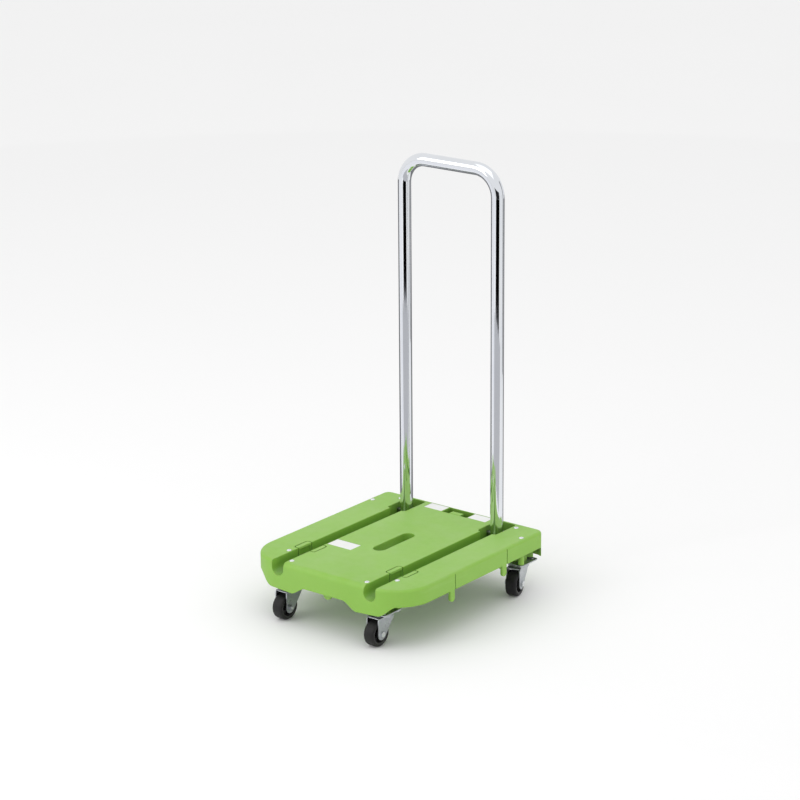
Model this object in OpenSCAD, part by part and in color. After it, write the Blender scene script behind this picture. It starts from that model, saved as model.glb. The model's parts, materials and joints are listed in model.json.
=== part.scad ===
// Folding hand cart: a one-piece moulded deck on four swivel casters, with a chrome
// U-shaped push handle that folds forward into two grooves in the deck.
// Frame: X across the deck, Y from front to rear (handle at +Y), Z up, origin on the
// floor under the middle of the deck. Millimetres.

/* [Deck] */
// Width of the deck, side to side
deck_w = 382; // [320:1:460]
// Length of the deck, front to rear
deck_l = 434; // [365:1:525]
// Height of the deck's top above the floor
deck_h = 120; // [116:1:145]
// Wall thickness of the moulding
wall = 3.5; // [3:0.5:4.5]
// Radius of the two front corners in plan
front_r = 74; // [50:1:80]
// Radius of the two rear corners in plan
rear_r = 14; // [10:1:20]
// Radius of the rounded top edge
edge_r = 6; // [4:0.5:7]
// Radius of the softer top edge across the front
front_edge_r = 11; // [7:0.5:13]
// Chamfer on the lips of the grooves, pockets, well and hand slot
lip = 0.9; // [0.5:0.1:1.2]

/* [Skirt] */
// Height of the skirt along the two sides
side_skirt = 32.5; // [24:0.5:40]
// Height of the skirt across the rear
rear_skirt = 51.5; // [40:0.5:54]
// Thickness of the deep rear skirt
rear_skirt_t = 6; // [4:0.5:10]
// Height of the skirt at the middle of the front
front_skirt = 41; // [34:0.5:46]
// Height of the two lobes in front of the front casters, at their inner end
lobe_skirt = 56.5; // [48:0.5:57]
// Height of the two lobes at their outer end
lobe_skirt_out = 53; // [46:0.5:56]
// Half width of a lobe's flat bottom, towards the middle
lobe_in = 33.5; // [28:0.5:38]
// Half width of a lobe's flat bottom, towards the side
lobe_out = 20.5; // [16:0.5:26]
// Run of a lobe's sloping ends
lobe_run = 30; // [22:0.5:36]

/* [Handle] */
// Outer diameter of the handle tube
tube_d = 25.4; // [21:0.1:31]
// Wall of the handle tube
tube_t = 1.5; // [1:0.1:2.5]
// Distance from the deck's side to a leg's axis
leg_inset = 81.5; // [74:0.5:90]
// Distance from the deck's rear edge to the fold pivot
pivot_inset = 42.5; // [38:0.5:50]
// Overall height of the raised handle above the floor
handle_h = 831; // [690:1:1000]
// Radius of the two top bends, at the tube's axis
bend_r = 50; // [40:1:60]
// How far the folded tube sinks below the deck's top
tube_sink = 1.6; // [0.5:0.1:4]

/* [Grooves and pockets] */
// Gap between the tube and a groove's wall
groove_gap = 1.05; // [0.8:0.05:2]
// Gap between the tube and a pocket's side wall
pocket_gap = 8.8; // [6:0.1:12]
// Length of a pocket ahead of the pivot, and behind it
pocket_half = 34.5; // [30:0.5:36]
// Depth of a pocket below the deck's top
pocket_depth = 34; // [32:0.5:38]
// Distance from the front edge to the handle clips
clip_y = 97; // [90:1:120]
// Length of a clip's tab, along the groove
clip_l = 37; // [30:1:44]
// How far the clip's slit runs behind the groove's wall
clip_back = 9.5; // [7:0.5:11]
// Width of the clip's slit
clip_slit = 2.2; // [1:0.2:3]
// How far the clip's bead stands into the groove
clip_bead = 0.7; // [0.3:0.05:0.7]

/* [Hand slot] */
// Width of the hand slot
slot_w = 26; // [22:0.5:32]
// Length of the hand slot
slot_l = 112; // [90:1:120]
// Depth of the slot's collar below the deck's top
slot_depth = 24; // [16:1:30]
// How far the slot's centre lies ahead of the deck's middle
slot_ahead = 5; // [0:1:15]

/* [Lock] */
// Width of the well that holds the release lever
well_w = 60; // [50:1:64]
// Length of the well, front to rear
well_l = 28; // [26:0.5:29]
// Depth of the well below the deck's top
well_depth = 35.5; // [34:0.5:38]
// Rim left behind the well
rim_t = 5; // [4.5:0.5:7]
// Width of the release lever
lever_w = 26; // [20:1:30]
// Thickness of the release lever
lever_t = 13.5; // [12.5:0.1:14]
// Diameter of the lever's pin
lever_pin_d = 4; // [3:0.5:5]
// Diameter of the lock bar
bar_d = 6; // [5:0.5:6.5]
// Travel of the lock bar
bar_travel = 3.6; // [3:0.1:4.2]

/* [Casters] */
// Diameter of a wheel
wheel_d = 50; // [40:1:60]
// Width of a tyre
wheel_w = 22; // [17:0.5:27]
// Trail: swivel axis to axle
trail = 19; // [12:0.5:23]
// Distance from the front edge to the front swivel axes
caster_front = 38; // [38:0.5:50]
// Distance from the rear edge to the rear swivel axes
caster_rear = 41; // [38:0.5:54]
// How far the rear casters have swung outwards from straight ahead
rear_yaw = 15; // [0:1:30]
// Length of a mounting plate, front to rear
plate_l = 54; // [50:0.5:60]
// Thickness of a mounting plate
plate_t = 2.3; // [1.8:0.1:3]
// Spacing of the plate's holes, front to rear
hole_dy = 39; // [36:0.5:42]
// Thickness of the fork's sheet
fork_t = 2; // [1.5:0.1:2.5]
// Diameter of the kingpin
king_d = 8; // [6:0.5:10]
// Diameter of the axle
axle_d = 6; // [5:0.5:8]
// Diameter of the race's balls
ball_d = 4.4; // [3.6:0.1:5]
// Number of balls in a race
ball_n = 14; // [10:1:16]

/* [Fasteners] */
// Diameter of the caster bolts
bolt_d = 5; // [4:0.5:6]
// Diameter of a caster bolt's head
bolt_head_d = 9.5; // [8:0.5:12]
// Diameter of the handle's pivot shaft
shaft_d = 8; // [6:0.5:10]

/* [Rope pegs and labels] */
// Width of a side rope peg
peg_w = 13; // [9:0.5:16]
// Thickness of a rope peg
peg_t = 5; // [4:0.5:7]
// How far a rope peg hangs below the side skirt
peg_drop = 22; // [14:0.5:24]
// Front rope peg: distance from the deck's front edge
peg_front = 143.5; // [125:0.5:150]
// Rear rope peg: distance from the deck's rear edge
peg_rear = 128.5; // [120:0.5:135]
// Distance from the deck's rear edge to the deep cross wall
cross_wall = 120; // [105:0.5:122]
// Width of the front rope peg
nose_w = 19; // [14:0.5:24]
// Width of the front label
label_w = 56; // [40:1:60]
// Length of the front label
label_l = 31; // [18:1:34]
// Distance from a label to the groove or well beside it
label_gap = 1.8; // [1:0.1:4]
// Thickness of a label
label_t = 0.4; // [0.2:0.1:0.6]

/* [Hidden] */
$fn = 64;

eps = 0.5;                  // how far joined parts of one moulding bite into each other
run = 0.05;                 // radial clearance of a running fit
free = 0.4;                 // gap between pieces that move past each other
overhang = max(trail + wheel_d/2 - caster_front, 0);    // wheels ahead of the deck
mid_y = overhang/2;
front_y = mid_y - deck_l/2;
rear_y = mid_y + deck_l/2;
side_x = deck_w/2;
under_top = deck_h - wall;
side_z = deck_h - side_skirt;
rear_z = deck_h - rear_skirt;
front_z = deck_h - front_skirt;
lobe_z = deck_h - lobe_skirt;
lobe_z_out = deck_h - lobe_skirt_out;
low_z = min(lobe_z, rear_z, lobe_z_out);

// Handle, grooves and pockets
leg_x = side_x - leg_inset;
pivot_y = rear_y - pivot_inset;
pivot_z = deck_h - tube_sink - tube_d/2;
bar_top_z = handle_h - tube_d/2;
groove_w = tube_d + 2*groove_gap;
pocket_w = tube_d + 2*pocket_gap;
pocket_r = 6;
pocket_z = deck_h - pocket_depth;
pocket_y0 = pivot_y - pocket_half;
pocket_y1 = pivot_y + pocket_half;
foot_drop = shaft_d/2 + 2;  // the tube ends this far below the pivot
foot_w = tube_d - 2;
foot_up = 24;               // how far the foot's plug reaches up the tube
foot_d = tube_d - 2*tube_t - 0.1;
shaft_boss = 8;
ring_x = leg_x + pocket_w/2 + shaft_boss;
ring_t = 1;
shaft_end = ring_x + 3;
clip_mid = front_y + clip_y;
clip_floor = pivot_z - groove_w/2 + 4;
clip_w = groove_w + 2*clip_back;
clip_corner = 4;
clip_relief = 1.3;          // the clip's wall is thinner by this much below its bead
bead_r = 2;
bead_z = deck_h - 3.6;

// Release lever and lock bar
well_y1 = rear_y - rim_t;
well_y0 = well_y1 - well_l;
well_z = deck_h - well_depth;
well_r = 2;
lever_y0 = well_y0 + 1.5;
lever_bottom_r = 5.5;
lever_pin_y = well_y0 + 6;
lever_pin_z = well_z + lever_bottom_r + 1;
bar_y = pivot_y + norm([tube_d/2, foot_drop]) + bar_d/2 + free + 0.1;
bar_z = pivot_z;
bar_half = leg_x + 10;
bar_slot = bar_d + 1.2;

// Casters
caster_h = wheel_d + 16;
bolt_dx = groove_w + bolt_head_d + 3;
plate_w = bolt_dx + 14;
race_h = 7;
race_r = 15;
race_in = 11;
race_out = 20;
crown_z = caster_h - plate_t - race_h;
ball_z = caster_h - plate_t - race_h/2;
axle_z = wheel_d/2;
leg_gap = wheel_w/2 + 1.2;
front_caster_y = front_y + caster_front;
rear_caster_y = rear_y - caster_rear;
rear_caster_x = side_x - wall - plate_w/2;
core_r = wheel_d/2 - 5;
bush_d = axle_d + 3;
nut_h = 4;
axle_nut_h = 4.5;
label_sunk = label_t + 0.2;
bolt_tail = 1.2;

// Ribs
rib_t = 2.4;
rib_z = deck_h - 18;
rib_n = round(deck_l/48);

// Colours
green = [0.55, 0.74, 0.36];
chrome = [0.82, 0.83, 0.85];
zinc = [0.66, 0.69, 0.72];
steel = [0.55, 0.56, 0.58];
black = [0.09, 0.09, 0.10];

// ---------------------------------------------------------------- shared shapes

// Block with its top edge rounded, its base at z = 0, and round corners in plan.
module rounded_block(w, l, rf, rr, h, re) {
    translate([0, l/2 - rr, 0]) rotate([90, 0, 0])
        linear_extrude(l - rf - rr) {
            translate([-w/2, 0]) square([w, h - re]);
            translate([-w/2 + re, 0]) square([w - 2*re, h]);
            for (s = [-1, 1]) translate([s*(w/2 - re), h - re]) circle(re);
        }
    translate([-(w/2 - rf), -l/2, 0]) end_strip(w - 2*rf, rf, h, re);
    mirror([0, 1, 0]) translate([-(w/2 - rr), -l/2, 0]) end_strip(w - 2*rr, rr, h, re);
    for (s = [0, 1]) mirror([s, 0, 0]) {
        translate([w/2 - rf, -l/2 + rf, 0]) rotate([0, 0, 270]) corner(rf, h, re);
        translate([w/2 - rr, l/2 - rr, 0]) corner(rr, h, re);
    }
}

// Strip between two corners, along X, with its outer top edge at y = 0 rounded.
module end_strip(w, depth, h, re) {
    rotate([90, 0, 90]) linear_extrude(w) {
        square([depth, h - re]);
        translate([re, 0]) square([depth - re, h]);
        translate([re, h - re]) circle(re);
    }
}

// Quarter-round corner with a rounded top edge.
module corner(r, h, re) {
    rotate_extrude(angle = 90) {
        square([r, h - re]);
        square([r - re, h]);
        translate([r - re, h - re]) intersection() {
            circle(re);
            translate([-min(re, r - re), -re]) square([2*re, 2*re]);
        }
    }
}

// Bar of slot shape: two round ends joined, centred in plan.
module long_hole(w, l, h) {
    translate([-w/2, -(l - w)/2, 0]) cube([w, l - w, h]);
    for (s = [-1, 1]) translate([0, s*(l - w)/2, 0]) cylinder(d = w, h = h);
}

// Box with round corners in plan, centred in plan.
module rounded_box(w, l, h, r) {
    translate([-w/2 + r, -l/2, 0]) cube([w - 2*r, l, h]);
    translate([-w/2, -l/2 + r, 0]) cube([w, l - 2*r, h]);
    for (i = [-1, 1], j = [-1, 1])
        translate([i*(w/2 - r), j*(l/2 - r), 0]) cylinder(r = r, h = h);
}

// Cylinder along X, from x0 to x1.
module x_rod(d, x0, x1) {
    translate([x0, 0, 0]) rotate([0, 90, 0]) cylinder(d = d, h = x1 - x0);
}

// Children on the left and, mirrored, on the right.
module both_sides() {
    children();
    mirror([1, 0, 0]) children();
}

// ---------------------------------------------------------------- deck

// Outer skin: the rounded block less its hollow, with the skirt trimmed to its outline.
module deck_skin() {
    inner_re = max(edge_r - wall, 0.8);
    difference() {
        translate([0, mid_y, low_z])
            rounded_block(deck_w, deck_l, front_r, rear_r, deck_h - low_z, edge_r);
        translate([0, mid_y, low_z - 1])
            rounded_block(deck_w - 2*wall, deck_l - 2*wall, front_r - wall, rear_r - wall,
                under_top - low_z + 1, inner_re);
        translate([-side_x - 1, front_y + front_r, low_z - 2])
            cube([deck_w + 2, deck_l - front_r - rear_skirt_t, side_z - low_z + 2]);
        if (rear_z > low_z)
            translate([-side_x - 1, rear_y - rear_skirt_t - 1, low_z - 2])
                cube([deck_w + 2, rear_skirt_t + 2, rear_z - low_z + 2]);
        translate([0, front_y + front_r, 0]) rotate([90, 0, 0])
            linear_extrude(front_r + 1) front_cut();
    }
}

// Everything below the lower edge of the front skirt, seen from the front.
module front_cut() {
    right = concat(
        ramp([leg_x - lobe_in - lobe_run, front_z], [leg_x - lobe_in, lobe_z]),
        ramp([leg_x + lobe_out, lobe_z_out], [leg_x + lobe_out + lobe_run, side_z]),
        [[side_x + 2, side_z], [side_x + 2, low_z - 2]]
    );
    left = [for (i = [len(right) - 1:-1:0]) [-right[i][0], right[i][1]]];
    polygon(concat(left, right));
}

// Points of a slope between two levels, rounded at both ends.
function ramp(a, b, n = 8) = [for (i = [0:n]) let (t = i/n)
    [a[0] + (b[0] - a[0])*t, a[1] + (b[1] - a[1])*(0.4*t + 0.3*(1 - cos(180*t)))]];

// Walls that carry the grooves, pockets, well, hand slot and casters.
module deck_walls() {
    channel_w = groove_w + 2*wall;
    channel_l = pocket_y0 - front_y - wall;
    both_sides() {
        translate([leg_x, front_y + wall - eps, 0]) {
            translate([-channel_w/2, 0, pivot_z])
                cube([channel_w, channel_l, under_top + eps - pivot_z]);
            translate([0, 0, pivot_z]) rotate([-90, 0, 0])
                cylinder(d = channel_w, h = channel_l);
        }
        translate([leg_x - pocket_w/2 - wall, pocket_y0 - wall, pocket_z - wall])
            cube([pocket_w + 2*wall, rear_y - 1 - pocket_y0 + wall,
                under_top + eps - pocket_z + wall]);
        translate([0, pivot_y, pivot_z])
            x_rod(2*shaft_d, leg_x - pocket_w/2 - shaft_boss, leg_x + pocket_w/2 + shaft_boss);
        caster_posts(leg_x, front_caster_y, 1);
        caster_posts(rear_caster_x, rear_caster_y, -1);
        for (y = [front_y + peg_front, rear_y - peg_rear]) rope_peg(y);
    }
    translate([-well_w/2 - wall, well_y0 - wall, well_z - wall])
        cube([well_w + 2*wall, rear_y - 1 - well_y0 + wall, under_top + eps - well_z + wall]);
    translate([0, mid_y - slot_ahead, deck_h - slot_depth])
        long_hole(slot_w + 2*wall, slot_l + 2*wall, slot_depth - wall + eps);
    translate([-side_x + wall - eps, rear_y - cross_wall - wall/2, lobe_z_out + 8])
        cube([deck_w - 2*wall + 2*eps, wall, under_top + eps - lobe_z_out - 8]);
    translate([0, front_y + 14, 0]) nose_peg();
    translate([-leg_x, front_y + wall - eps, under_top - front_edge_r + edge_r])
        cube([2*leg_x, front_edge_r - 1, front_edge_r - edge_r + eps]);
    ribs();
}

// Ribs under the deck's top, across it and along it.
module ribs() {
    rib_h = under_top + eps - rib_z;
    for (i = [1:rib_n - 1]) {
        y = front_y + i*deck_l/rib_n;
        ahead = max(front_y + front_r - y, 0);
        half = side_x - front_r + sqrt(pow(front_r, 2) - pow(ahead, 2)) - wall + eps;
        translate([-half, y - rib_t/2, rib_z]) cube([2*half, rib_t, rib_h]);
    }
    for (s = [-1, 1]) translate([s*(leg_x*0.42) - rib_t/2, front_y + wall - eps, rib_z])
        cube([rib_t, deck_l - 2*wall + 2*eps, rib_h]);
}

// Posts and webs that carry a caster: one post for each bolt and a ring round the kingpin.
module caster_posts(x, y, slant) {
    post_h = under_top + eps - caster_h;
    span = norm([bolt_dx, hole_dy]);
    web_up = 4;
    translate([x, y, caster_h]) {
        bolt_places(slant) cylinder(d = bolt_d + 7, h = post_h);
        difference() {
            cylinder(r = race_r + 1, h = post_h);
            translate([0, 0, -1]) cylinder(r = race_r + 1 - wall, h = post_h);
        }
        for (a = [-1, 1]) rotate([0, 0, a*atan2(hole_dy, bolt_dx)])
            translate([-span/2, -rib_t/2, web_up]) cube([span, rib_t, post_h - web_up]);
    }
}

// Rope peg at one side: a tongue that hangs below the skirt, level with its face.
module rope_peg(y) {
    translate([side_x - peg_t, y - peg_w/2, side_z - peg_drop + peg_w/2])
        cube([peg_t, peg_w, side_skirt - edge_r + peg_drop - peg_w/2]);
    translate([0, y, side_z - peg_drop + peg_w/2]) x_rod(peg_w, side_x - peg_t, side_x);
}

// Rope peg behind the middle of the front skirt.
module nose_peg() {
    bottom = side_z - peg_drop + nose_w/2;
    translate([-nose_w/2, -peg_t/2, bottom]) cube([nose_w, peg_t, under_top + eps - bottom]);
    translate([0, peg_t/2, bottom]) rotate([90, 0, 0]) cylinder(d = nose_w, h = peg_t);
}

// A caster's two bolts lie on one diagonal: slant is 1 for outer-rear, -1 for outer-front.
module bolt_places(slant) {
    for (s = [-1, 1]) translate([s*bolt_dx/2, s*slant*hole_dy/2, 0]) children();
}

// Everything that is hollow in the finished moulding.
module deck_hollows() {
    groove_l = pocket_y0 - front_y + 2;
    both_sides() {
        translate([leg_x, front_y - 1, 0]) {
            translate([-groove_w/2, 0, pivot_z]) cube([groove_w, groove_l, groove_w]);
            translate([0, 0, pivot_z]) rotate([-90, 0, 0]) cylinder(d = groove_w, h = groove_l);
            translate([0, groove_l, 0]) rotate([90, 0, 0]) linear_extrude(groove_l) flare(groove_w);
        }
        translate([leg_x, pivot_y, pocket_z])
            rounded_box(pocket_w, 2*pocket_half, pocket_depth + 1, pocket_r);
        translate([leg_x, pivot_y, 0]) flared_box(pocket_w, 2*pocket_half, pocket_r);
        translate([leg_x, clip_mid, clip_floor]) difference() {
            rounded_box(clip_w + 2*clip_slit, clip_l + 2*clip_slit, deck_h - clip_floor + 1,
                clip_corner + clip_slit);
            translate([0, 0, -1])
                rounded_box(clip_w, clip_l, deck_h - clip_floor + 3, clip_corner);
        }
        translate([leg_x - groove_w/2 - clip_relief, clip_mid - clip_l/2 + 3, pivot_z - 2])
            cube([groove_w + 2*clip_relief, clip_l - 6, bead_z - pivot_z + 1.2]);
        translate([0, pivot_y, pivot_z]) x_rod(shaft_d + 7, ring_x, shaft_end + 1);
        bolt_hole(leg_x, front_caster_y, 1);
        bolt_hole(rear_caster_x, rear_caster_y, -1);
        for (y = [front_y + peg_front, rear_y - peg_rear])
            translate([side_x - 1.5, y + peg_w/2 + 1, side_z - 1]) cube([2, 2, side_skirt + 2]);
    }
    translate([0, mid_y - slot_ahead, deck_h - slot_depth - 1])
        long_hole(slot_w, slot_l, slot_depth + 2);
    translate([0, mid_y - slot_ahead, 0]) flared_box(slot_w, slot_l, slot_w/2);
    translate([0, well_y0 + well_l/2, well_z])
        rounded_box(well_w, well_l, well_depth + 1, well_r);
    translate([0, well_y0 + well_l/2, 0]) flared_box(well_w, well_l, well_r);
    front_rounding();
    translate([0, pivot_y, pivot_z]) x_rod(shaft_d + 2*run, -shaft_end, shaft_end);
    translate([0, lever_pin_y, lever_pin_z])
        x_rod(lever_pin_d, -well_w/2 - wall, well_w/2 + wall);
    bar_window();
    label_front(0.3, 2);
    for (s = [-1, 1]) label_rear(s, 0.3, 2);
}

// Section of a chamfered mouth of width w, at the deck's top.
module flare(w) {
    polygon([
        [-w/2, deck_h - lip], [w/2, deck_h - lip],
        [w/2 + lip + 1, deck_h + 1], [-w/2 - lip - 1, deck_h + 1]
    ]);
}

// Chamfered mouth of a round-cornered opening.
module flared_box(w, l, r) {
    if (l > 2*r) translate([0, l/2 - r, 0]) rotate([90, 0, 0]) linear_extrude(l - 2*r) flare(w);
    if (w > 2*r) translate([-(w/2 - r), 0, 0]) rotate([90, 0, 90])
        linear_extrude(w - 2*r) flare(l);
    for (i = [-1, 1], j = [-1, 1])
        if (i < 0 || w > 2*r) translate([i*(w/2 - r), j*(l/2 - r), deck_h - lip])
            cylinder(r1 = r, r2 = r + lip + 1, h = lip + 1);
}

// Softer top edge across the front, between the two grooves.
module front_rounding() {
    translate([-leg_x, front_y, deck_h]) rotate([90, 0, 90]) linear_extrude(2*leg_x)
        difference() {
            translate([-1, -front_edge_r]) square([front_edge_r + 1, front_edge_r + 1]);
            translate([front_edge_r, -front_edge_r]) circle(front_edge_r);
            translate([front_edge_r, -front_edge_r]) square(front_edge_r + 2);
        }
}

// Slots that the lock bar slides in, through every wall on its way.
module bar_window() {
    h = bar_d + 2*run;
    for (y = [bar_y, bar_y + bar_travel + 2*run]) translate([0, y, bar_z])
        x_rod(h, -bar_half - 1, bar_half + 1);
    translate([-bar_half - 1, bar_y, bar_z - h/2])
        cube([2*bar_half + 2, bar_travel + 2*run, h]);
}

// Through holes of one caster's bolts, with a shallow seat for each head.
module bolt_hole(x, y, slant) {
    translate([x, y, 0]) bolt_places(slant) {
        translate([0, 0, caster_h - 1]) cylinder(d = bolt_d + 0.4, h = deck_h);
        translate([0, 0, deck_h - 1.5]) cylinder(d = bolt_head_d + 0.4, h = 3);
    }
}

// Beads on the clips that hold the folded tube down.
module clip_beads() {
    l = clip_l - 4;
    both_sides() for (s = [-1, 1])
        translate([leg_x + s*(groove_w/2 + bead_r - clip_bead), clip_mid - l/2, bead_z])
            rotate([-90, 0, 0]) cylinder(r = bead_r, h = l);
}

module deck() {
    color(green) {
        difference() {
            union() {
                deck_skin();
                deck_walls();
            }
            deck_hollows();
        }
        clip_beads();
    }
}

// ---------------------------------------------------------------- handle

module tube_profile() {
    difference() {
        circle(d = tube_d);
        circle(d = tube_d - 2*tube_t);
    }
}

module handle_tube() {
    leg_z0 = pivot_z - foot_drop;
    color(chrome) difference() {
        translate([0, pivot_y, 0]) {
            both_sides() {
                translate([leg_x, 0, leg_z0])
                    linear_extrude(bar_top_z - bend_r - leg_z0) tube_profile();
                translate([leg_x - bend_r, 0, bar_top_z - bend_r]) rotate([90, 0, 0])
                    rotate_extrude(angle = 90) translate([bend_r, 0]) tube_profile();
            }
            translate([-(leg_x - bend_r), 0, bar_top_z]) rotate([0, 90, 0])
                linear_extrude(2*(leg_x - bend_r)) tube_profile();
        }
        translate([0, pivot_y, pivot_z]) x_rod(shaft_d + 1, -side_x, side_x);
        lock_notch();
    }
}

// Notch for the lock bar in the back of each leg.
module lock_notch() {
    translate([0, pivot_y + tube_d/2 + 1, bar_z]) x_rod(bar_d + 2*free, -side_x, side_x);
}

// Moulded foot that plugs a leg's lower end and turns on the pivot shaft.
module handle_foot(s) {
    leg_z0 = pivot_z - foot_drop;
    color(black) translate([s*leg_x, pivot_y, 0]) difference() {
        union() {
            translate([0, 0, leg_z0 - eps]) cylinder(d = foot_d, h = foot_up + eps);
            intersection() {
                translate([0, 0, pivot_z]) x_rod(tube_d, -foot_w/2, foot_w/2);
                translate([-tube_d, -tube_d, pivot_z - tube_d])
                    cube([2*tube_d, 2*tube_d, tube_d - foot_drop]);
            }
        }
        translate([0, 0, pivot_z]) x_rod(shaft_d + 2*run, -tube_d, tube_d);
        translate([-s*leg_x, -pivot_y, 0]) lock_notch();
    }
}

module pivot_shaft() {
    color(steel) translate([0, pivot_y, pivot_z]) x_rod(shaft_d, -shaft_end, shaft_end);
}

// Spring rings that keep the shaft in place, one at each end.
module shaft_rings() {
    color(steel) both_sides() translate([0, pivot_y, pivot_z]) difference() {
        x_rod(shaft_d + 6, ring_x, ring_x + ring_t);
        x_rod(shaft_d, ring_x - 1, ring_x + ring_t + 1);
    }
}

// ---------------------------------------------------------------- lock

module release_lever() {
    top = deck_h - 0.5;
    color(green) difference() {
        rotate([90, 0, 90]) translate([0, 0, -lever_w/2]) linear_extrude(lever_w) {
            translate([lever_pin_y, lever_pin_z]) circle(lever_bottom_r);
            translate([lever_y0, lever_pin_z]) square([lever_t, top - lever_pin_z - 1.5]);
            translate([lever_y0 + 1.5, lever_pin_z]) square([lever_t - 3, top - lever_pin_z]);
            for (y = [lever_y0 + 1.5, lever_y0 + lever_t - 1.5])
                translate([y, top - 1.5]) circle(1.5);
        }
        translate([0, lever_pin_y, lever_pin_z]) x_rod(lever_pin_d + 2*run, -well_w, well_w);
        for (z = [0, bar_travel*0.6]) translate([0, bar_y, bar_z + z])
            x_rod(bar_slot, -well_w, well_w);
        translate([-well_w, bar_y - bar_slot/2, bar_z])
            cube([2*well_w, bar_slot, bar_travel*0.6]);
    }
}

module lever_pin() {
    color(steel) translate([0, lever_pin_y, lever_pin_z])
        x_rod(lever_pin_d, -well_w/2 - wall, well_w/2 + wall);
}

module lock_bar() {
    color(zinc) translate([0, bar_y, bar_z]) x_rod(bar_d, -bar_half, bar_half);
}

// Points of one torsion spring: a leg, the coil round the pin, and the leg behind the bar.
spring_wire = 1.2;
spring_r = lever_pin_d/2 + spring_wire/2 + 0.1;
spring_turns = 4.25;
spring_steps = 16;
spring_x = lever_w/2 + 2;
spring_pitch = spring_wire + 0.2;
spring_n = round(spring_turns*spring_steps);
spring_end_x = spring_x + spring_turns*spring_pitch + 0.2;
spring_back_y = bar_y + bar_d/2 + bar_travel + spring_wire/2 + 0.5;
spring_path = concat(
    [[spring_x, lever_pin_y - 0.6 - spring_r, well_z + spring_wire/2 + 0.1]],
    [for (i = [0:spring_n]) let (a = 180 + i*360/spring_steps)
        [spring_x + i*spring_pitch/spring_steps,
         lever_pin_y + spring_r*cos(a), lever_pin_z + spring_r*sin(a)]],
    [[spring_end_x, spring_back_y - 1.5, lever_pin_z - spring_r],
     [spring_end_x, spring_back_y, lever_pin_z - spring_r + 1.5],
     [spring_end_x, spring_back_y, bar_z + 3]]);

// Round wire swept along a path that keeps to planes across X.
module wire(path, r, sides) {
    n = len(path);
    rings = [for (i = [0:n - 1])
        let (a = path[max(i - 1, 0)], b = path[min(i + 1, n - 1)],
             t = (b - a)/norm(b - a),
             u0 = cross(t, [1, 0, 0]), u = u0/norm(u0), v = cross(t, u))
        for (k = [0:sides - 1]) path[i] + r*cos(360*k/sides)*u + r*sin(360*k/sides)*v];
    quads = [for (i = [0:n - 2], k = [0:sides - 1])
        let (p = i*sides + k, q = i*sides + (k + 1) % sides) [p, q, q + sides, p + sides]];
    tris = [for (f = quads) each [[f[2], f[1], f[0]], [f[3], f[2], f[0]]]];
    ends = [[for (k = [0:sides - 1]) k], [for (k = [sides - 1:-1:0]) (n - 1)*sides + k]];
    polyhedron(rings, concat(tris, ends));
}

module lever_spring() {
    color(steel) both_sides() wire(spring_path, spring_wire/2, 8);
}

// ---------------------------------------------------------------- casters

// Children placed at one caster: side is -1 or 1, and pair is 1 at the front, -1 at the rear.
// All trail towards the front; the rear ones have swung outwards.
module at_caster(side, pair) {
    x = pair > 0 ? leg_x : rear_caster_x;
    y = pair > 0 ? front_caster_y : rear_caster_y;
    if (side < 0) mirror([1, 0, 0]) translate([x, y, 0]) rotate([0, 0, pair > 0 ? 0 : rear_yaw])
        children();
    else translate([x, y, 0]) rotate([0, 0, pair > 0 ? 0 : rear_yaw]) children();
}

// Children placed at one caster's plate, which doesn't turn.
module at_plate(side, pair) {
    translate([side*(pair > 0 ? leg_x : rear_caster_x),
        pair > 0 ? front_caster_y : rear_caster_y, 0]) children();
}

module ball_track() {
    rotate_extrude() translate([race_r, ball_z]) circle(ball_d/2 + run);
}

module plate() {
    color(zinc) difference() {
        union() {
            translate([0, 0, caster_h - plate_t]) rounded_box(plate_w, plate_l, plate_t, 5);
            translate([0, 0, ball_z + 0.4]) difference() {
                cylinder(r = race_out, h = race_h/2 - 0.4 + eps);
                translate([0, 0, -1]) cylinder(r = race_in, h = race_h/2 + 0.6);
            }
        }
        for (i = [-1, 1], j = [-1, 1]) translate([i*bolt_dx/2, j*hole_dy/2, 0])
            cylinder(d = bolt_d + 0.4, h = 2*caster_h);
        cylinder(d = king_d, h = 2*caster_h);
        ball_track();
    }
}

module balls() {
    color(chrome) for (i = [0:ball_n - 1]) rotate([0, 0, i*360/ball_n])
        translate([race_r, 0, ball_z]) sphere(d = ball_d);
}

module kingpin() {
    head_z = crown_z - fork_t;
    color(zinc) {
        translate([0, 0, head_z - 2.5]) cylinder(d = king_d, h = caster_h + 4.4 - head_z);
        translate([0, 0, head_z - 2.6]) cylinder(d = 2*king_d - 2, h = 2.5);
        translate([0, 0, caster_h]) cylinder(d = 2*king_d - 3, h = 2);
    }
}

// Side view of a fork leg, with y and z as they stand on the cart.
module leg_outline() {
    boss = 11;
    toe = atan2(7, 8.5);
    translate([-trail, axle_z]) circle(boss);
    polygon([
        [-trail - boss, axle_z],
        [-trail - boss + 0.5, crown_z - 3],
        [-trail - boss + 3, crown_z],
        [15, crown_z],
        [15, crown_z - 7],
        [-trail + boss*cos(toe), axle_z - boss*sin(toe)]
    ]);
}

module fork() {
    half = leg_gap + fork_t;
    color(zinc) difference() {
        union() {
            translate([0, 0, crown_z - fork_t]) linear_extrude(fork_t) {
                circle(race_out);
                translate([-half, -trail - 8]) square([2*half, trail + 23]);
            }
            translate([0, 0, crown_z - eps]) difference() {
                cylinder(r = race_out, h = ball_z - 0.4 - crown_z + eps);
                translate([0, 0, -1]) cylinder(r = race_in, h = race_h);
            }
            for (x = [-half, leg_gap]) translate([x, 0, 0]) rotate([90, 0, 90])
                linear_extrude(fork_t) leg_outline();
        }
        cylinder(d = king_d + 2*run, h = 2*caster_h);
        ball_track();
        translate([0, -trail, axle_z]) x_rod(axle_d, -half - 1, half + 1);
    }
}

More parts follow.
